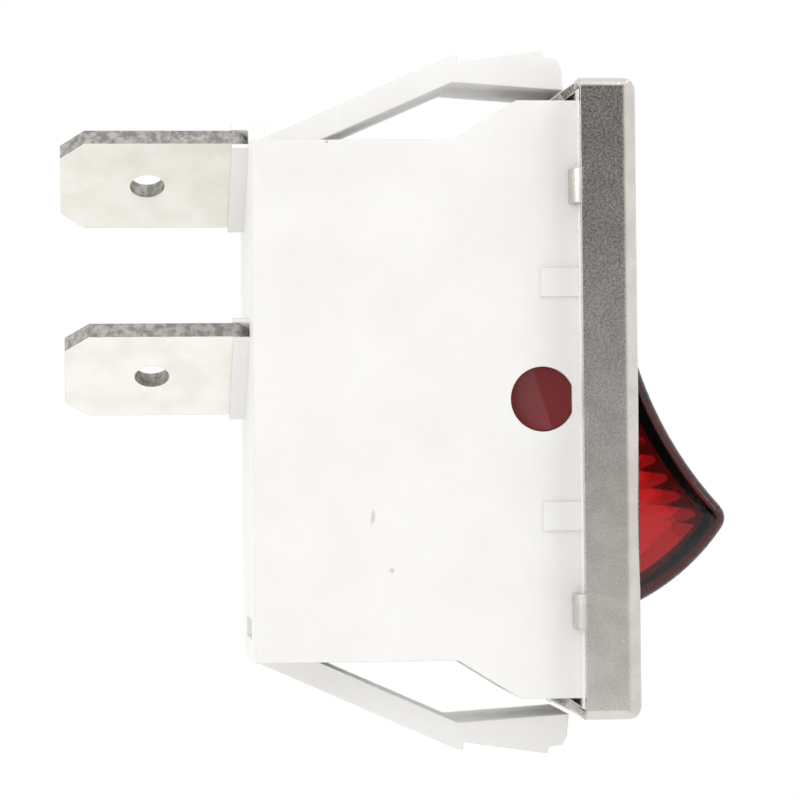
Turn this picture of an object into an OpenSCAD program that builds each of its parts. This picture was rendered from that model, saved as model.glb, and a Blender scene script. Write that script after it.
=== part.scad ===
// Snap-in panel rocker switch, single pole, on-off, with two blade terminals.
//
// Frame: the origin is the middle of the panel's front face inside the cut-out, where the bezel seats.
// +Z runs up the long side, -Y points out of the panel to the user, and X runs along the rocker's pivot.
// The rocker is drawn with its lower end out, which is the off position.

/* [Bezel] */
// Length of the bezel, along Z
bezel_len = 30; // [28:0.1:34]
// Width of the bezel, along X
bezel_w = 13.8; // [13.4:0.1:15]
// How far the bezel's front stands in front of its rear edge
bezel_h = 2.7; // [2.4:0.05:3.2]
// Thickness of the sheet steel
sheet_t = 0.4; // [0.3:0.05:0.5]
// Radius of the rolled front edge
front_edge_r = 0.8; // [0.6:0.05:1]
// Radius of the four upright corners
corner_r = 0.45; // [0.42:0.01:0.6]
// Gap between the window's end and the rocker
window_end_gap = 0.3; // [0.2:0.05:0.5]
// Gap between the window's side and the rocker
window_side_gap = 0.22; // [0.15:0.01:0.3]
// Distance of each crimp tab from the middle, along Z
crimp_z = 9.95; // [8.6:0.05:11]
// Width of each crimp tab
crimp_w = 1.6; // [1.2:0.1:2]
// Inner radius of the crimp tab's bend
crimp_bend_r = 0.15; // [0.1:0.01:0.25]
// Width of each end flap
flap_w = 10.4; // [8:0.1:10.6]
// Angle by which each end flap is bent in
flap_turn = 35; // [30:1:42]

/* [Housing] */
// Width of the body, along X
body_w = 11; // [10.8:0.1:11.4]
// Depth of the body behind the panel's front face
body_depth = 14.9; // [14.6:0.1:17]
// Length of the body's rear part
rear_len = 24.4; // [24.3:0.1:25.4]
// Length of the body's front part, which fills the cut-out
front_len = 28.1; // [27.4:0.1:28.4]
// Where the end ramps start, from the panel's front face
ramp_start = 2.45; // [2:0.05:3]
// Where the end ramps end
ramp_end = 5.4; // [4.8:0.1:6]
// Thickness of the side walls
side_wall = 1.2; // [1.1:0.05:1.3]
// Thickness of the rear wall
floor_t = 1.6; // [1.4:0.1:1.8]
// Depth of the flange inside the bezel
flange_t = 2.2; // [1.6:0.05:2.25]
// Height of the locating ribs on the sides
rib_proud = 0.12; // [0.05:0.01:0.16]
// Width of each locating rib, along Z
rib_w = 1.38; // [1:0.02:1.8]
// Distance of each locating rib from the middle
rib_z = 5.5; // [4.6:0.1:6.6]
// How far the locating ribs reach behind the panel's front face
rib_end = 1.35; // [0.8:0.05:2]
// Height of the collars round the terminal roots
collar_h = 0.8; // [0.4:0.1:1]
// Wall of those collars
collar_wall = 0.3; // [0.2:0.05:0.5]

/* [Latch arms] */
// Width of each latch arm, along X
latch_w = 6.5; // [5:0.1:8]
// Thickness of the arm
latch_t = 1.16; // [1:0.02:1.3]
// Angle between the arm and the body's end
latch_slope = 23.6; // [22.6:0.1:24]
// Where the arm's head starts, from the panel's front face
head_start = 5.2; // [4.8:0.1:5.6]
// Depth of the catch steps on the head
catch_step = 0.3; // [0.15:0.05:0.4]
// Where the head ends, from the panel's front face
head_end = -0.12; // [-0.2:0.02:0]
// Extra angle at which the lower arm has settled
lower_arm_splay = 0.6; // [0:0.1:1]

/* [Rocker] */
// Distance of the pivot behind the panel's front face
pivot_y = 1.3; // [1.1:0.05:1.5]
// Radius of the rocker's rounded ends, about the pivot
rocker_r = 10.75; // [10.5:0.05:10.8]
// Width of the rocker
rocker_w = 8.3; // [8:0.05:8.35]
// Radius of the concave face
face_r = 18.4; // [17:0.1:20]
// Distance of the concave face from the pivot, in the middle
face_reach = 5.1; // [4.9:0.05:5.4]
// Radius of the rolled edges
edge_r = 0.65; // [0.4:0.05:0.7]
// Radius of the two tips
tip_r = 0.8; // [0.75:0.05:1]
// Angle of the rocker to each side of its middle position
throw = 18; // [14:0.5:19]
// Thickness of the face's wall
face_wall = 1.15; // [1:0.05:1.3]
// Thickness of the end walls
end_wall = 1.15; // [1:0.05:1.3]
// Thickness of the side walls
cheek_t = 1; // [0.8:0.05:1.2]
// How far the rocker's skirt reaches behind the pivot
skirt = 0.95; // [0.6:0.05:1.2]
// Radius of the pivot pins
pin_r = 1.5; // [1.3:0.05:1.6]
// Length of each pivot pin outside the cheek
pin_len = 1.08; // [0.9:0.02:1.1]
// Pitch of the prism ridges under the face
prism_pitch = 1; // [0.8:0.1:1.4]
// Height of the prism ridges
prism_h = 0.95; // [0.6:0.05:1.1]

/* [Contacts] */
// Radius of the plunger
plunger_r = 1.1; // [1:0.05:1.25]
// Wall of the rocker's central tube
tube_wall = 0.75; // [0.6:0.05:0.9]
// Distance of the see-saw's axis behind the panel's front face
fulcrum_y = 9.85; // [9.6:0.05:10]
// Radius of the rounded edge that the blade rocks on
fulcrum_r = 0.4; // [0.35:0.01:0.45]
// Angle of the blade to each side of its middle position
blade_throw = 10; // [9:0.5:10.5]
// Thickness of the blade
blade_t = 0.5; // [0.4:0.05:0.6]
// Width of the blade
blade_w = 3.6; // [3.2:0.1:4.2]
// Distance of the contacts from the pivot, along Z
contact_z = 8.35; // [8.1:0.05:8.5]
// Radius of the moving contact's head
moving_r = 1.4; // [1.2:0.05:1.5]
// Radius of the fixed contact's head
fixed_r = 1.25; // [1.1:0.05:1.4]
// Height of the fixed contact's head
fixed_h = 0.7; // [0.5:0.05:0.8]
// Wire of the plunger's spring
wire_d = 0.28; // [0.22:0.01:0.32]
// Turns of the plunger's spring
spring_turns = 8; // [6:1:10]

/* [Terminals] */
// Width of the tabs
tab_w = 6.3; // [6.2:0.05:6.4]
// Thickness of the tabs
tab_t = 0.8; // [0.75:0.01:0.85]
// Length of the tabs behind the body
tab_len = 8.9; // [8:0.1:9.5]
// How much deeper the common terminal is pressed in
common_seat = 0.15; // [0:0.05:0.3]
// Angle of the tabs' width to the X axis
tab_turn = 35; // [32:1:38]
// Distance of the line terminal from the pivot, along Z
line_z = 10.8; // [10.7:0.05:11]
// Distance of the common terminal from the pivot, along Z
common_z = 1.65; // [1.5:0.05:1.9]
// Radius of the hole in each tab
hole_r = 0.83; // [0.7:0.01:0.9]
// Distance of the hole from the tab's tip
hole_from_tip = 4.15; // [3.8:0.05:4.4]
// Length of the chamfers at the tab's tip
tip_chamfer_len = 1.15; // [0.8:0.05:1.4]
// Width of those chamfers
tip_chamfer_w = 1.1; // [0.8:0.05:1.3]
// Width of the neck that passes through the body
neck_w = 3.6; // [3.2:0.1:3.8]

/* [Clearances] */
// Gap between pieces that are fitted together
fit = 0.05; // [0.03:0.01:0.06]
// Radial gap of the pivot pins and of the blade on its edge
running = 0.03; // [0.02:0.005:0.05]
// Gap between the plunger and the tube round it
slide_gap = 0.05; // [0.03:0.01:0.08]
// Smallest gap between pieces that pass or meet while the switch moves
passing = 0.05; // [0.03:0.01:0.08]

/* [Hidden] */
$fn = 96;
cut = 1;                       // how far a cutter runs past what it cuts

// Bezel
rim_y = -sheet_t;              // the bezel's rear edge, one sheet in front of the crimp tabs' backs
front_y = rim_y - bezel_h;
bezel_x = bezel_w / 2;
bezel_z = bezel_len / 2;

// Housing
body_x = body_w / 2;
rear_z = rear_len / 2;
front_z = front_len / 2;
inner_x = body_x - side_wall;
flange_front = rim_y - fit / 2 - flange_t;
flange_rear = rim_y - fit / 2;
flange_x = bezel_x - sheet_t - fit;
flange_z = bezel_z - sheet_t - fit;
rocker_gap = 0.3;              // between the rocker's ends and the housing
inner_z = rocker_r + rocker_gap;
floor_y = body_depth - floor_t;

// Rocker, in its own frame: the pivot is the origin and -Y the middle of its face
face_centre = face_reach + face_r;
rocker_x = rocker_w / 2;
tip_from_pivot = rocker_r - tip_r;
tip_from_face = face_r + tip_r;
tip_angle = acos((pow(tip_from_pivot, 2) + pow(face_centre, 2) - pow(tip_from_face, 2))
                 / (2 * tip_from_pivot * face_centre));
tube_r = plunger_r + slide_gap;
tube_end = 3.2;                // how far the tube reaches behind the pivot
lobe_r = 2.9;                  // of the cheeks round the pivot
seam = 0.01;                   // step of the mould line where the rounded tips start

// See-saw and plunger
blade_back = fulcrum_r * 0.6;  // from the see-saw's axis to the blade's rear face
blade_front = blade_back + blade_t;
nose_reach = fulcrum_y - pivot_y - blade_front - plunger_r - passing;
plunger_len = 5.3;             // from the plunger's shoulder to the middle of its nose
shoulder = nose_reach - plunger_len;
shank_r = moving_r / 2;        // of both contact rivets
foot_y = floor_y - tab_t;      // front of the line terminal's folded foot
dome_r = 4;                    // of the moving contact's face
contact_gap = 0.02;            // left between the contacts when the switch is on
contact_h = (foot_y - fixed_h - contact_gap - fulcrum_y - contact_z * sin(blade_throw) - dome_r)
            / cos(blade_throw) + dome_r + blade_back;

// Terminals: the line terminal's neck is set in from its lower edge so that it clears the body's end wall
line_neck = -(tab_w - neck_w) / 2 + 0.45;
common_neck = -(tab_w - neck_w) / 2 + 0.45;
foot_len = 3.2;

// ---------------------------------------------------------------- helpers

// A profile drawn as (Y, Z), carried to both sides of X = 0
module across(w) rotate([90, 0, 90]) linear_extrude(w, center = true) children();

// A profile drawn as (X, Z), carried from y0 to y1
module along(y0, y1) translate([0, y1, 0]) rotate([90, 0, 0]) linear_extrude(y1 - y0) children();

// A profile drawn as (X, Y), carried to both sides of Z = 0
module upright(h) linear_extrude(h, center = true) children();

// Half the section of a disc of radius r, with its edges rounded by e
module rolled_profile(r, half_w, e) {
    translate([0, -half_w]) square([r - e, 2 * half_w]);
    translate([0, e - half_w]) square([r, 2 * (half_w - e)]);
    for (s = [-1, 1]) intersection() {
        translate([r - e, s * (half_w - e)]) circle(e);
        translate([0, -half_w]) square([r + e, 2 * half_w]);
    }
}

module rounded_rect(w, h, r) {
    square([w - 2 * r, h], center = true);
    square([w, h - 2 * r], center = true);
    for (sx = [-1, 1], sy = [-1, 1]) translate([sx * (w / 2 - r), sy * (h / 2 - r)]) circle(r);
}

module both_ends() { children(); mirror([0, 0, 1]) children(); }
module both_sides() { children(); mirror([1, 0, 0]) children(); }

// ---------------------------------------------------------------- bezel

// A box whose four front edges are rounded by r and whose upright corners are rounded by c
module pillow(w, l, y0, y1, r, c)
    intersection() {
        along(y0 - cut, y1) rounded_rect(w, l, c);
        across(w + 2 * cut) round_fronted(l, y0, y1, r);
        upright(l + 2 * cut) rotate(90) mirror([0, 1]) round_fronted(w, y0, y1, r);
    }

// The outline of such a box, as (Y, width)
module round_fronted(l, y0, y1, r) {
    translate([y0 + r, -l / 2]) square([y1 - y0 - r, l]);
    translate([y0, r - l / 2]) square([r + cut / 10, l - 2 * r]);
    for (s = [-1, 1]) translate([y0 + r, s * (l / 2 - r)]) circle(r);
}

module window() {
    z = sqrt(pow(rocker_r, 2) - pow(pivot_y - front_y, 2)) + window_end_gap;
    along(front_y - cut, front_y + 2 * sheet_t) rounded_rect(rocker_w + 2 * window_side_gap, 2 * z, 0.4);
}

// One crimp tab on the +X side: the wall's edge turned in behind the flange
module crimp_tab() {
    r = crimp_bend_r + sheet_t;
    reach = bezel_x - body_x - fit;
    upright(crimp_w) {
        translate([bezel_x - reach, -sheet_t]) square([reach - r, sheet_t]);
        intersection() {
            translate([bezel_x - r, -r]) difference() { circle(r); circle(crimp_bend_r); }
            translate([bezel_x - r, -r]) square(r);
        }
    }
}

// One end flap on the +Z end: the wall's edge bent down on to the body's end
module end_flap() {
    y = rim_y - 0.1;
    len = (bezel_z - sheet_t * cos(flap_turn) - front_z - fit / 2) / sin(flap_turn);
    tip = [y + len * cos(flap_turn), bezel_z - len * sin(flap_turn)];
    across(flap_w) polygon([
        [y - sheet_t, bezel_z], [y, bezel_z], tip,
        tip - sheet_t * [sin(flap_turn), cos(flap_turn)],
        [y - sheet_t * tan(flap_turn / 2), bezel_z - sheet_t],
        [y - sheet_t, bezel_z - sheet_t]]);
}

module bezel() color([0.78, 0.76, 0.72]) {
    bend = crimp_bend_r + sheet_t;
    inner_front = front_y + sheet_t;
    difference() {
        pillow(bezel_w, bezel_len, front_y, rim_y, front_edge_r, corner_r);
        pillow(bezel_w - 2 * sheet_t, bezel_len - 2 * sheet_t, inner_front, rim_y + cut,
               front_edge_r - sheet_t, corner_r - sheet_t);
        window();
        // the wall ends where each tab and flap starts to bend
        both_ends() both_sides() translate([bezel_x - sheet_t, -bend, crimp_z - crimp_w / 2])
            cube([cut, bend + cut, crimp_w]);
        both_ends() translate([-flap_w / 2, rim_y - 0.1, bezel_z - sheet_t - cut / 2])
            cube([flap_w, cut, sheet_t + cut]);
    }
    both_ends() {
        both_sides() translate([0, 0, crimp_z]) crimp_tab();
        end_flap();
    }
}

// ---------------------------------------------------------------- housing

module body_outline()
    polygon([
        [flange_front, -front_z], [ramp_start, -front_z], [ramp_end, -rear_z], [body_depth, -rear_z],
        [body_depth, rear_z], [ramp_end, rear_z], [ramp_start, front_z], [flange_front, front_z]]);

// The arm at the +Z end, as (Y, Z): it leaves the rear corner and carries a stepped head
module latch_outline() {
    slope = tan(latch_slope);
    shoulder_z = rear_z + (body_depth - head_start) * slope;
    under_z = shoulder_z - latch_t / cos(latch_slope);
    root_y = body_depth - latch_t / sin(latch_slope);
    crest_z = shoulder_z + 0.2;
    polygon([
        [body_depth, rear_z], [head_start, shoulder_z], [head_start - 0.25, shoulder_z],
        [head_start - 0.25, shoulder_z - catch_step - 0.05],
        [1.1, crest_z], [0.9, crest_z], [0.82, crest_z - catch_step], [0.2, crest_z - catch_step - 0.08],
        [head_end + 0.1, crest_z - 0.8], [head_end, under_z - 0.38],
        [head_start, under_z], [root_y, rear_z], [root_y, rear_z - side_wall / 2],
        [body_depth, rear_z - side_wall / 2]]);
}

module latch_arm(splay)
    translate([0, body_depth, rear_z]) rotate([-splay, 0, 0]) translate([0, -body_depth, -rear_z])
        across(latch_w) latch_outline();

// The pivot's hole through the +X side: round inside, with a flat on its outer skin
module pivot_hole() {
    skin = 0.2;
    translate([inner_x - cut, pivot_y, 0]) rotate([0, 90, 0]) cylinder(r = pin_r + running, h = side_wall + cut - skin);
    intersection() {
        translate([body_x - 2 * skin, pivot_y, 0]) rotate([0, 90, 0]) cylinder(r = pin_r + running, h = 2 * skin + cut);
        translate([body_x - 2 * skin, pivot_y - pin_r + 0.12, -2 * pin_r]) cube([cut + 2 * skin, 4 * pin_r, 4 * pin_r]);
    }
}

// The tapered groove that leads a pivot pin in from the front
module pin_groove()
    upright(2 * (pin_r + running))
        polygon([
            [inner_x - fit, flange_front - cut], [inner_x + 0.9, flange_front - cut], [inner_x + 0.9, flange_front],
            [inner_x + 0.35, pivot_y - pin_r - 0.3], [inner_x - fit, pivot_y - pin_r - 0.3]]);

// Where a terminal passes through the rear wall, turned with its tab
module at_terminal(z) translate([0, 0, z]) rotate([0, tab_turn, 0]) children();

module terminal_slot(z, neck)
    at_terminal(z) translate([-neck - neck_w / 2 - fit / 2, floor_y - cut, -tab_t / 2 - fit / 2])
        cube([neck_w + fit, floor_t + collar_h + 2 * cut, tab_t + fit]);

module collar(z)
    at_terminal(z) translate([-tab_w / 2, body_depth - collar_h, -tab_t / 2 - collar_wall])
        cube([tab_w, 2 * collar_h, tab_t + 2 * collar_wall]);

module collar_pocket(z)
    at_terminal(z) translate([-tab_w / 2 - cut, body_depth, -tab_t / 2 - fit / 2])
        cube([tab_w + 2 * cut, collar_h + cut, tab_t + fit]);

module housing() color([0.92, 0.92, 0.9]) difference() {
    union() {
        across(body_w) body_outline();
        along(flange_front, flange_rear) rounded_rect(2 * flange_x, 2 * flange_z, front_edge_r - sheet_t);
        both_sides() both_ends() translate([body_x - rib_proud, flange_rear, rib_z - rib_w / 2])
            cube([2 * rib_proud, rib_end - flange_rear, rib_w]);
        latch_arm(0);
        mirror([0, 0, 1]) latch_arm(lower_arm_splay);
        for (z = [line_z, common_z]) collar(z);
    }
    // the chamber, open at the front
    translate([-inner_x, flange_front - cut, -inner_z]) cube([2 * inner_x, floor_y - flange_front + cut, 2 * inner_z]);
    both_sides() { pivot_hole(); pin_groove(); }
    terminal_slot(line_z, line_neck);
    terminal_slot(common_z, common_neck);
    for (z = [line_z, common_z]) collar_pocket(z);
    // the blanked-off slot of a third terminal
    translate([-2.2, body_depth - 0.6, -line_z - 0.48]) cube([4.4, cut, 0.96]);
    // cored-out ends, open at the front
    both_ends() translate([-inner_x, flange_front - cut, inner_z + 0.9])
        cube([2 * inner_x, ramp_start - flange_front + cut, front_z - inner_z - 1.8]);
    // the flange's front edge clears the bezel's rolled edge
    both_ends() translate([0, flange_front, flange_z]) rotate([45, 0, 0]) cube([2 * flange_x + cut, 0.6, 0.6], center = true);
    both_sides() translate([flange_x, flange_front, 0]) rotate([0, 0, 45]) cube([0.6, 0.6, 2 * flange_z + cut], center = true);
}

// ---------------------------------------------------------------- rocker

module at_pivot() translate([0, pivot_y, 0]) rotate([-throw, 0, 0]) children();

// What is cut away to leave the concave face and its rolled edges
module face_cutter()
    translate([0, -face_centre, 0]) rotate([0, 90, 0]) rotate_extrude($fn = 144) {
        translate([0, -rocker_x - cut]) square([face_r, rocker_w + 2 * cut]);
        for (s = [-1, 1]) difference() {
            translate([face_r - cut, s * (rocker_x - edge_r / 2 + cut / 2) - (edge_r + cut) / 2])
                square([edge_r + cut, edge_r + cut]);
            translate([face_r + edge_r, s * (rocker_x - edge_r)]) circle(edge_r);
        }
    }

// What is cut away round a tip, from its end to its face
module tip_cutter() {
    first = 270 - tip_angle;
    last = 360 + atan2(tip_from_pivot * cos(tip_angle) - face_centre, tip_from_pivot * sin(tip_angle));
    translate(tip_from_pivot * [0, -cos(tip_angle), sin(tip_angle)]) rotate([0, 90, 0]) rotate([0, 0, first])
        rotate_extrude(angle = last - first) difference() {
            translate([0, -rocker_w]) square([2 * tip_r, 2 * rocker_w]);
            rolled_profile(tip_r - seam, rocker_x - seam, edge_r);
        }
}

module rocker_shape() {
    difference() {
        rotate([0, 90, 0]) rotate_extrude($fn = 144) rolled_profile(rocker_r, rocker_x, edge_r);
        translate([-rocker_w, skirt, -2 * rocker_r]) cube([2 * rocker_w, 4 * rocker_r, 4 * rocker_r]);
        face_cutter();
        both_ends() tip_cutter();
    }
    rotate([0, 90, 0]) cylinder(r = lobe_r, h = rocker_w, center = true);
}

// The hollow under the face, as (Y, Z), with the prism ridges left standing in it
module hollow_outline()
    difference() {
        intersection() {
            circle(rocker_r - end_wall, $fn = 144);
            translate([-rocker_r, -rocker_r]) square([rocker_r + skirt + 3, 2 * rocker_r]);
        }
        translate([-face_centre, 0]) circle(face_r + face_wall, $fn = 144);
        prism_ridges();
    }

module prism_ridges() {
    n = floor((rocker_r - 2.6) / prism_pitch);
    for (s = [-1, 1], i = [2 : n]) {
        z = i * prism_pitch;
        root = -face_centre + sqrt(pow(face_r + face_wall, 2) - pow(z, 2));
        polygon([
            [root - face_wall / 2, s * (z - prism_pitch / 2)], [root + prism_h, s * (z - prism_pitch / 4)],
            [root - face_wall / 2, s * (z + prism_pitch / 2)]]);
    }
}

// A pivot pin on the +X side, with the half that enters first chamfered
module pivot_pin() {
    reach = rocker_x + pin_len;
    difference() {
        translate([rocker_x - cheek_t / 2, 0, 0]) rotate([0, 90, 0]) cylinder(r = pin_r, h = pin_len + cheek_t / 2);
        upright(4 * pin_r) polygon([[reach, 0], [reach + cut, 0], [reach + cut, 2 * pin_r], [reach - 1.1, 2 * pin_r]]);
    }
}

module rocker() color([0.72, 0.06, 0.08]) at_pivot() {
    difference() {
        union() {
            difference() {
                rocker_shape();
                across(rocker_w - 2 * cheek_t) hollow_outline();
            }
            translate([0, -face_reach + face_wall / 2, 0]) rotate([-90, 0, 0])
                cylinder(r = tube_r + tube_wall, h = face_reach - face_wall / 2 + tube_end);
        }
        translate([0, -face_reach + face_wall, 0]) rotate([-90, 0, 0])
            cylinder(r = tube_r, h = face_reach + tube_end + cut);
    }
    both_sides() pivot_pin();
}

// ---------------------------------------------------------------- plunger and spring

spigot_r = 0.55;
spigot_len = 1;
spring_r = plunger_r - wire_d / 2 - 0.05;

module plunger() color([0.85, 0.83, 0.78]) at_pivot() rotate([-90, 0, 0]) {
    translate([0, 0, shoulder - spigot_len]) cylinder(r = spigot_r, h = spigot_len + cut / 2);
    translate([0, 0, shoulder]) cylinder(r = plunger_r, h = plunger_len);
    translate([0, 0, nose_reach]) sphere(plunger_r);
}

// The spring, as a ring of wire for each turn between its two ground ends
module plunger_spring() color([0.7, 0.7, 0.7]) at_pivot() rotate([-90, 0, 0]) {
    top = face_wall - face_reach + wire_d / 2 + 0.02;
    pitch = (shoulder - wire_d / 2 - 0.02 - top) / spring_turns;
    rings = 8 * spring_turns;
    wire = wire_d / 2;
    steps = [for (i = [0 : rings]) [spring_r * cos(45 * i), spring_r * sin(45 * i), top + pitch * i / 8]];
    polyhedron(
        points = [for (i = [0 : rings], k = [0 : 5])
            steps[i] + wire * [cos(60 * k) * cos(45 * i), cos(60 * k) * sin(45 * i), sin(60 * k)]],
        faces = concat(
            [[for (k = [0 : 5]) k]],
            [for (i = [0 : rings - 1], k = [0 : 5])
                [6 * i + k, 6 * (i + 1) + k, 6 * (i + 1) + (k + 1) % 6, 6 * i + (k + 1) % 6]],
            [[for (k = [5 : -1 : 0]) 6 * rings + k]]));
}

// ---------------------------------------------------------------- contacts

module at_fulcrum() translate([0, fulcrum_y, 0]) rotate([blade_throw, 0, 0]) children();

module contact_blade() color([0.8, 0.6, 0.3]) at_fulcrum() difference() {
    union() {
        along(-blade_front, -blade_back) {
            translate([0, (contact_z - 5.2) / 2]) square([blade_w, contact_z + 5.2], center = true);
            translate([0, contact_z]) circle(blade_w / 2);
        }
        // cheeks that keep the blade on its edge
        both_sides() translate([blade_w / 2 - 0.4, -blade_back - cut / 10, -1.2]) cube([0.4, 1.1 + cut / 10, 2.4]);
    }
    rotate([0, 90, 0]) cylinder(r = fulcrum_r + running, h = blade_w - 0.8, center = true);
    translate([0, 0, contact_z]) rotate([90, 0, 0]) cylinder(r = shank_r + fit / 2, h = 2 * blade_front);
}

module moving_contact() color([0.85, 0.85, 0.85]) at_fulcrum() translate([0, 0, contact_z]) rotate([-90, 0, 0]) {
    intersection() {
        translate([0, 0, -blade_back]) cylinder(r = moving_r, h = contact_h);
        translate([0, 0, contact_h - blade_back - dome_r]) sphere(dome_r);
    }
    translate([0, 0, -blade_front - 0.1]) cylinder(r = shank_r, h = blade_t + 0.2);
    translate([0, 0, -blade_front - 0.35]) cylinder(r = moving_r * 0.75, h = 0.35);
}

module fixed_contact() color([0.85, 0.85, 0.85]) translate([-0.25, 0, contact_z]) rotate([-90, 0, 0]) {
    translate([0, 0, foot_y - fixed_h]) cylinder(r = fixed_r, h = fixed_h);
    translate([0, 0, foot_y - 0.1]) cylinder(r = shank_r, h = tab_t + 0.1);
}

// ---------------------------------------------------------------- terminals

// A terminal's flat outline from the body outwards, as (width, Y), before it is turned. Its neck starts at y0.
module tab_outline(len, neck, y0) {
    w = tab_w / 2;
    tip = body_depth + len;
    difference() {
        polygon([
            [-w, body_depth + 0.5], [-w, tip - tip_chamfer_len], [tip_chamfer_w - w, tip], [w - tip_chamfer_w, tip],
            [w, tip - tip_chamfer_len], [w, body_depth + 0.9], [w - 1.4, body_depth], [0.5 - w, body_depth]]);
        translate([0, tip - hole_from_tip]) circle(hole_r);
    }
    translate([-neck - neck_w / 2, y0]) square([neck_w, body_depth - y0 + cut / 2]);
}

module terminal_blank(z, len, neck, y0)
    at_terminal(z) upright(tab_t) tab_outline(len, neck, y0);

module line_terminal() color([0.86, 0.85, 0.82]) difference() {
    union() {
        terminal_blank(line_z, tab_len, line_neck, floor_y - tab_t / 2);
        // the foot, folded flat on the floor
        at_terminal(line_z) translate([-line_neck - neck_w / 2, foot_y, -foot_len + tab_t / 2])
            cube([neck_w, tab_t, foot_len]);
    }
    translate([-0.25, foot_y - cut, contact_z]) rotate([-90, 0, 0]) cylinder(r = shank_r + fit / 2, h = tab_t + 2 * cut);
}

module common_terminal() color([0.86, 0.85, 0.82]) {
    bar_w = blade_w - 0.8 - 2 * fit;
    plate_start = fulcrum_y + 1.4;
    terminal_blank(common_z, tab_len - common_seat, common_neck, floor_y - 0.4);
    // the twist between the neck and the edge that the blade rocks on
    hull() {
        at_terminal(common_z) translate([-common_neck - neck_w / 2, floor_y - 0.4, -tab_t / 2]) cube([neck_w, 0.4, tab_t]);
        translate([-bar_w / 2, plate_start, -fulcrum_r]) cube([bar_w, 0.1, 2 * fulcrum_r]);
    }
    translate([-bar_w / 2, fulcrum_y, -fulcrum_r]) cube([bar_w, plate_start - fulcrum_y + 0.1, 2 * fulcrum_r]);
    translate([0, fulcrum_y, 0]) rotate([0, 90, 0]) cylinder(r = fulcrum_r, h = bar_w, center = true);
}

housing();
bezel();
rocker();
plunger();
plunger_spring();
contact_blade();
moving_contact();
fixed_contact();
line_terminal();
common_terminal();
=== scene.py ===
import bpy
import math
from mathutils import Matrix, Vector

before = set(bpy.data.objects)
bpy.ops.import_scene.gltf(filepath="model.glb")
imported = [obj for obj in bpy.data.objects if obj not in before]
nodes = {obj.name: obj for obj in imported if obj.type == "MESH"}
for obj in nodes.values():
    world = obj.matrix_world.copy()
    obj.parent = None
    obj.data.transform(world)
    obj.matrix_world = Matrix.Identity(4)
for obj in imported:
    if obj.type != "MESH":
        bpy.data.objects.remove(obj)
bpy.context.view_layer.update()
MM = 0.001

# Places on the part, in metres
SIDE_X = -5.5 * MM                 # the housing's near side
SKIN = 0.1 * MM                    # marks on that side fade out from one to three of these below it
PIN_X = 4.17 * MM                  # where the rocker's pins leave its cheeks
TAB_TURN = math.radians(35)        # of the tabs' width to the X axis


# ------------------------------------------------------------------ node helpers

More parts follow.
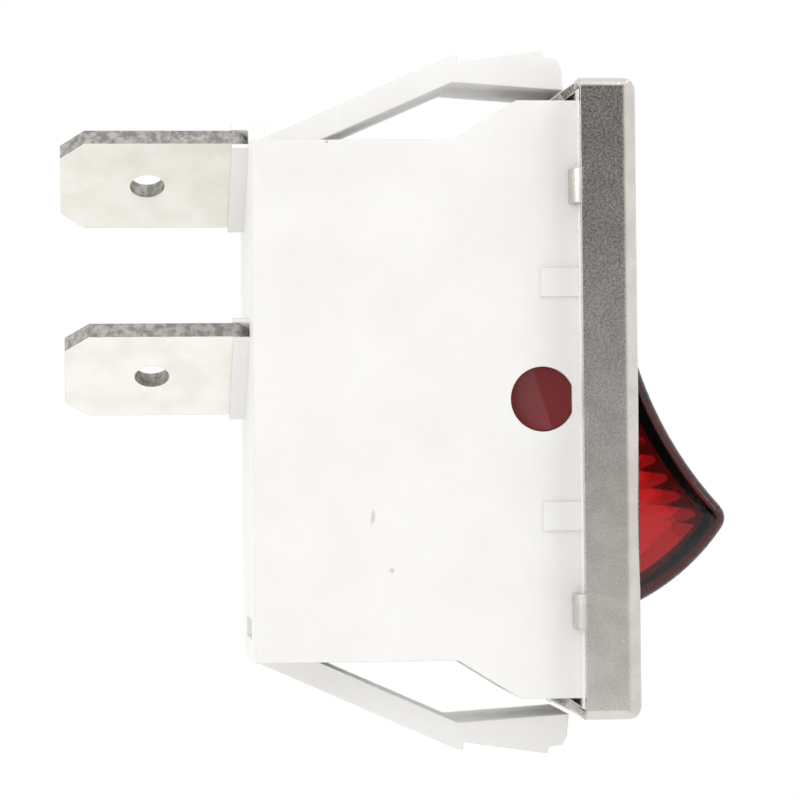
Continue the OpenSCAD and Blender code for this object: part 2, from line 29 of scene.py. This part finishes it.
class Shader:
    """A material with a Principled shader, and short calls for the nodes that feed it."""

    def __init__(self, name):
        self.material = bpy.data.materials.new(name)
        self.material.use_nodes = True
        self.tree = self.material.node_tree
        self.tree.nodes.clear()
        self.out = self.tree.nodes.new("ShaderNodeOutputMaterial")
        self.main = self.add("BsdfPrincipled")
        self.tree.links.new(self.main.outputs[0], self.out.inputs["Surface"])
        self.where = self.add("TexCoord").outputs["Object"]

    def add(self, kind, inputs=None, **settings):
        node = self.tree.nodes.new("ShaderNode" + kind)
        for key, value in settings.items():
            setattr(node, key, value)
        for key, value in (inputs or {}).items():
            self.put(node.inputs[key], value)
        return node

    def put(self, socket, value):
        if isinstance(value, bpy.types.NodeSocket):
            self.tree.links.new(value, socket)
        elif socket.type == "RGBA" and len(value) == 3:
            socket.default_value = (*value, 1.0)
        else:
            socket.default_value = value

    def set(self, **inputs):
        for key, value in inputs.items():
            self.put(self.main.inputs[key.replace("_", " ")], value)

    def math(self, operation, a, b=0.0, c=0.0):
        return self.add("Math", {0: a, 1: b, 2: c}, operation=operation).outputs[0]

    def vec(self, operation, a, b=(0, 0, 0)):
        node = self.add("VectorMath", {0: a, 1: b}, operation=operation)
        return node.outputs["Value" if operation in ("DOT_PRODUCT", "LENGTH") else "Vector"]

    def ramp(self, value, low, high, to_low=0.0, to_high=1.0, smooth=True):
        return self.add("MapRange", {0: value, 1: low, 2: high, 3: to_low, 4: to_high},
                        interpolation_type="SMOOTHSTEP" if smooth else "LINEAR").outputs[0]

    def mix(self, share, a, b):
        node = self.add("Mix", data_type="RGBA")
        self.put(node.inputs[0], share)
        self.put(node.inputs[6], a)
        self.put(node.inputs[7], b)
        return node.outputs[2]

    def stretched(self, scale):
        return self.vec("MULTIPLY", self.where, scale)

    def noise(self, scale, detail=2.0, rough=0.5, at=None):
        node = self.add("TexNoise", {"Scale": scale, "Detail": detail, "Roughness": rough})
        self.put(node.inputs["Vector"], self.where if at is None else at)
        return node.outputs["Fac"]

    def cells(self, scale):
        return self.add("TexVoronoi", {"Scale": scale, "Vector": self.where}).outputs["Distance"]

    def bump(self, height, depth, strength=1.0, normal=None):
        node = self.add("Bump", {"Height": height, "Distance": depth, "Strength": strength})
        if normal is not None:
            self.put(node.inputs["Normal"], normal)
        return node.outputs[0]

    def rounded(self, radius):
        return self.add("Bevel", {"Radius": radius}, samples=6).outputs[0]

    def facing(self, direction):
        """How far the surface faces a direction of the part's frame, from -1 to 1."""
        return self.vec("DOT_PRODUCT", self.add("TexCoord").outputs["Normal"], direction)

    def spot(self, y, z, radius_y, radius_z, wobble=0.0, turn=0.0):
        """1 in the middle of a soft spot on a side face, 0 outside it. Sizes in millimetres."""
        y0, z0 = self.split()[1:3]
        dy = self.math("SUBTRACT", y0, y * MM)
        dz = self.math("SUBTRACT", z0, z * MM)
        c, s = math.cos(turn), math.sin(turn)
        a = self.math("ADD", self.math("MULTIPLY", dy, c), self.math("MULTIPLY", dz, s))
        b = self.math("SUBTRACT", self.math("MULTIPLY", dz, c), self.math("MULTIPLY", dy, s))
        a = self.math("DIVIDE", a, radius_y * MM)
        b = self.math("DIVIDE", b, radius_z * MM)
        r = self.math("SQRT", self.math("ADD", self.math("MULTIPLY", a, a), self.math("MULTIPLY", b, b)))
        if wobble:
            n = self.noise(3500, 3)
            r = self.math("ADD", r, self.math("MULTIPLY", self.math("SUBTRACT", n, 0.5), wobble))
        return self.ramp(r, 0.35, 1.0, 1.0, 0.0)

    def split(self):
        if not hasattr(self, "xyz"):
            self.xyz = self.add("SeparateXYZ", {0: self.where}).outputs
        return self.xyz

    def most(self, *values):
        total = values[0]
        for v in values[1:]:
            total = self.math("MAXIMUM", total, v)
        return total

    def dress(self, *names):
        for n in names:
            nodes[n].data.materials.clear()
            nodes[n].data.materials.append(self.material)


# ------------------------------------------------------------------ white moulded nylon

nylon = Shader("white_nylon")
cloud = nylon.noise(260, 4, 0.55)
mottle = nylon.noise(1500, 3, 0.6)
tint = nylon.mix(nylon.ramp(cloud, 0.35, 0.65), (0.835, 0.828, 0.812), (0.865, 0.86, 0.85))
tint = nylon.mix(nylon.ramp(mottle, 0.55, 0.75, 0.0, 0.25), tint, (0.80, 0.795, 0.785))
near = nylon.ramp(nylon.split()[0], SIDE_X + 3 * SKIN, SIDE_X + SKIN)
smudge = nylon.most(
    nylon.spot(9.38, -5.45, 0.14, 0.5, 0.9, 0.12),
    nylon.spot(8.5, -7.95, 0.16, 0.16, 0.6))
speck = nylon.most(
    nylon.spot(11.38, 12.1, 0.1, 0.09, 0.5),
    nylon.spot(8.33, 13.4, 0.07, 0.07, 0.5))
grit = nylon.ramp(nylon.cells(900), 0.075, 0.03)
grit = nylon.math("MULTIPLY", grit, nylon.ramp(nylon.noise(420, 1), 0.62, 0.7))
tint = nylon.mix(nylon.math("MULTIPLY", nylon.math("MULTIPLY", smudge, near), 0.5), tint, (0.42, 0.40, 0.37))
tint = nylon.mix(nylon.math("MULTIPLY", speck, 0.6), tint, (0.35, 0.33, 0.3))
tint = nylon.mix(nylon.math("MULTIPLY", grit, 0.35), tint, (0.5, 0.48, 0.45))
grain = nylon.noise(6000, 3, 0.6)
nylon.set(Base_Color=tint, Roughness=nylon.ramp(mottle, 0.3, 0.7, 0.38, 0.5), IOR=1.53,
          Subsurface_Weight=0.12, Subsurface_Radius=(1.0, 0.9, 0.75), Subsurface_Scale=0.0006,
          Normal=nylon.bump(grain, 0.000008, 0.6, nylon.rounded(0.00009)))
nylon.dress("housing")


# ------------------------------------------------------------------ nickel-plated bezel

plate = Shader("nickel_plated_steel")
grain = plate.noise(9000, 4, 0.65)
brush = plate.noise(1.0, 4, 0.6, at=plate.stretched((9000, 9000, 160)))
scratch = plate.noise(1.0, 2, 0.5, at=plate.stretched((4200, 4200, 60)))
scratch = plate.ramp(scratch, 0.66, 0.72)
pits = plate.ramp(plate.cells(5200), 0.16, 0.05)
pits = plate.math("MULTIPLY", pits, plate.ramp(plate.noise(1700, 2), 0.5, 0.62))
tint = plate.mix(plate.ramp(plate.noise(700, 3), 0.35, 0.65), (0.60, 0.575, 0.54), (0.68, 0.655, 0.615))
tint = plate.mix(plate.math("MULTIPLY", pits, 0.5), tint, (0.86, 0.84, 0.8))
relief = plate.math("ADD", plate.math("MULTIPLY", grain, 0.5), plate.math("MULTIPLY", brush, 0.6))
relief = plate.math("SUBTRACT", relief, plate.math("MULTIPLY", scratch, 0.8))
relief = plate.math("ADD", relief, plate.math("MULTIPLY", pits, 0.6))
plate.set(Base_Color=tint, Metallic=1.0, Roughness=plate.ramp(grain, 0.3, 0.7, 0.2, 0.32),
          Normal=plate.bump(relief, 0.000006, 0.5, plate.rounded(0.00006)))
plate.dress("bezel")


# ------------------------------------------------------------------ tinned terminals

tin = Shader("tinned_brass")
face = tin.math("ABSOLUTE", tin.facing((-math.sin(TAB_TURN), 0, -math.cos(TAB_TURN))))
edge = tin.ramp(face, 0.9, 0.75)
grain = tin.noise(5000, 4, 0.65)
coarse = tin.noise(2600, 3, 0.7)
dots = tin.ramp(tin.cells(2400), 0.14, 0.05)
dots = tin.math("MULTIPLY", dots, tin.ramp(tin.noise(1100, 2), 0.52, 0.64))
tint = tin.mix(tin.ramp(tin.noise(500, 3), 0.35, 0.65), (0.86, 0.845, 0.79), (0.93, 0.92, 0.88))
tint = tin.mix(tin.math("MULTIPLY", dots, 0.35), tint, (0.55, 0.53, 0.48))
cut_face = tin.mix(tin.ramp(coarse, 0.35, 0.65), (0.26, 0.25, 0.235), (0.5, 0.485, 0.46))
tint = tin.mix(edge, tint, cut_face)
relief = tin.math("MULTIPLY", grain, tin.math("ADD", tin.math("MULTIPLY", edge, 1.5), 0.5))
relief = tin.math("SUBTRACT", relief, tin.math("MULTIPLY", dots, 0.5))
tin.set(Base_Color=tint, Metallic=0.85, Roughness=tin.ramp(edge, 0.0, 1.0, 0.38, 0.6),
        Normal=tin.bump(relief, 0.00001, 0.6, tin.rounded(0.00007)))
tin.dress("line_terminal", "common_terminal")


# ------------------------------------------------------------------ translucent red rocker

red = Shader("translucent_red")
beyond = red.ramp(red.math("ABSOLUTE", red.split()[0]), PIN_X, PIN_X + 0.13 * MM)
ripple = red.noise(900, 2)
grain = red.noise(5200, 3)
red.set(Base_Color=red.mix(beyond, (1.0, 0.86, 0.86), (0.6, 0.05, 0.06)),
        Transmission_Weight=red.ramp(beyond, 0.0, 1.0, 1.0, 0.75, smooth=False),
        Roughness=red.ramp(beyond, 0.0, 1.0, 0.06, 0.3, smooth=False), IOR=1.5,
        Normal=red.bump(red.math("ADD", ripple, red.math("MULTIPLY", grain, 0.3)), 0.000006, 0.3,
                        red.rounded(0.00008)))
body = red.add("VolumeAbsorption", {"Color": (0.84, 0.0, 0.035), "Density": 2300.0})
red.tree.links.new(body.outputs[0], red.out.inputs["Volume"])
red.dress("rocker")


# ------------------------------------------------------------------ pieces inside

acetal = Shader("ivory_acetal")
tint = acetal.mix(acetal.ramp(acetal.noise(700, 3), 0.35, 0.65), (0.78, 0.75, 0.66), (0.84, 0.81, 0.73))
acetal.set(Base_Color=tint, Roughness=0.4, Normal=acetal.bump(acetal.noise(5000, 2), 0.000006, 0.5))
acetal.dress("plunger")

wire = Shader("spring_steel")
wire.set(Base_Color=wire.mix(wire.noise(3000, 2), (0.42, 0.42, 0.42), (0.62, 0.61, 0.59)), Metallic=1.0,
         Roughness=0.35, Normal=wire.bump(wire.noise(9000, 2), 0.000004, 0.5))
wire.dress("plunger_spring")

copper = Shader("copper_alloy")
tint = copper.mix(copper.ramp(copper.noise(900, 4), 0.35, 0.65), (0.62, 0.36, 0.2), (0.8, 0.52, 0.31))
copper.set(Base_Color=tint, Metallic=1.0, Roughness=copper.ramp(copper.noise(2500, 3), 0.3, 0.7, 0.28, 0.45),
           Normal=copper.bump(copper.noise(1.0, 3, at=copper.stretched((6000, 6000, 300))), 0.000005, 0.5))
copper.dress("contact_blade")

silver = Shader("silver")
tint = silver.mix(silver.ramp(silver.noise(1800, 3), 0.35, 0.65), (0.7, 0.69, 0.66), (0.88, 0.87, 0.85))
silver.set(Base_Color=tint, Metallic=1.0, Roughness=0.34,
           Normal=silver.bump(silver.noise(6000, 3), 0.000005, 0.5))
silver.dress("moving_contact", "fixed_contact")


# ------------------------------------------------------------------ floor, world, light, camera

FLOOR_Z = -0.05
FLOOR_SIZE = 6.0
FADE = (0.09, 0.3)                 # distances at which the floor starts and ends its fade to plain white
bpy.ops.mesh.primitive_grid_add(x_subdivisions=8, y_subdivisions=8, size=FLOOR_SIZE, location=(0, 0, FLOOR_Z))
floor = bpy.context.object
floor.name = "floor"
paper = Shader("floor_paper")
paper.set(Base_Color=(0.86, 0.86, 0.86), Roughness=0.9)
light_path = paper.add("LightPath").outputs
seen = paper.most(light_path["Is Camera Ray"], light_path["Is Glossy Ray"], light_path["Is Transmission Ray"])
flat = paper.vec("MULTIPLY", paper.where, (1, 1, 0))
away = paper.ramp(paper.vec("LENGTH", flat), *FADE)
white = paper.add("Emission", {"Color": (1, 1, 1), "Strength": 1.0}).outputs[0]
blend = paper.add("MixShader", {0: paper.math("MULTIPLY", seen, away), 1: paper.main.outputs[0], 2: white})
paper.tree.links.new(blend.outputs[0], paper.out.inputs["Surface"])
floor.data.materials.append(paper.material)

world = bpy.data.worlds.new("studio")
bpy.context.scene.world = world
world.use_nodes = True
tree = world.node_tree
tree.nodes.clear()


def world_node(kind, inputs=None, **settings):
    node = tree.nodes.new("ShaderNode" + kind)
    for key, value in settings.items():
        setattr(node, key, value)
    for key, value in (inputs or {}).items():
        if isinstance(value, bpy.types.NodeSocket):
            tree.links.new(value, node.inputs[key])
        else:
            node.inputs[key].default_value = value
    return node


# A pale surround with one dark panel in it, which the bezel's side mirrors
DARK_TOWARD = Vector((-0.985, -0.17, 0.0)).normalized()
DARK_OUTER = math.cos(math.radians(34))
DARK_INNER = math.cos(math.radians(16))
PALE, DARK = 1.05, 0.05
direction = world_node("TexCoord").outputs["Generated"]
cosine = world_node("VectorMath", {0: direction, 1: DARK_TOWARD}, operation="DOT_PRODUCT").outputs["Value"]
level = world_node("MapRange", {0: cosine, 1: DARK_OUTER, 2: DARK_INNER, 3: PALE, 4: DARK},
                   interpolation_type="SMOOTHSTEP").outputs[0]
surround = world_node("Background", {"Color": (1.0, 0.99, 0.975, 1.0), "Strength": level}).outputs[0]
backdrop = world_node("Background", {"Color": (1, 1, 1, 1), "Strength": 1.0}).outputs[0]
path = world_node("LightPath").outputs
straight = world_node("Math", {0: path["Is Camera Ray"], 1: path["Is Transmission Ray"]}, operation="MAXIMUM")
both = world_node("MixShader", {0: straight.outputs[0], 1: surround, 2: backdrop}).outputs[0]
tree.links.new(both, world_node("OutputWorld").inputs["Surface"])


def softbox(name, at, size, watts):
    lamp = bpy.data.lights.new(name, "AREA")
    lamp.shape = "RECTANGLE"
    lamp.size, lamp.size_y = size
    lamp.energy = watts
    o = bpy.data.objects.new(name, lamp)
    o.location = at
    o.rotation_euler = (-Vector(at)).to_track_quat("-Z", "Y").to_euler()
    bpy.context.scene.collection.objects.link(o)
    return o


softbox("key", (-0.16, -0.2, 0.24), (0.2, 0.2), 0.35)
softbox("fill", (-0.12, 0.26, 0.1), (0.2, 0.2), 0.15)

camera = bpy.data.objects.new("camera", bpy.data.cameras.new("camera"))
bpy.context.scene.collection.objects.link(camera)
bpy.context.scene.camera = camera
camera.data.sensor_width = 36
camera.data.lens = 146.94
camera.data.clip_start = 0.01
camera.data.clip_end = 20
camera.location = (-0.157395, 0.022865, -0.002978)
camera.rotation_euler = [math.radians(v) for v in (91.1196, 0.5432, -95.5589)]

bpy.context.scene.view_settings.view_transform = "Standard"
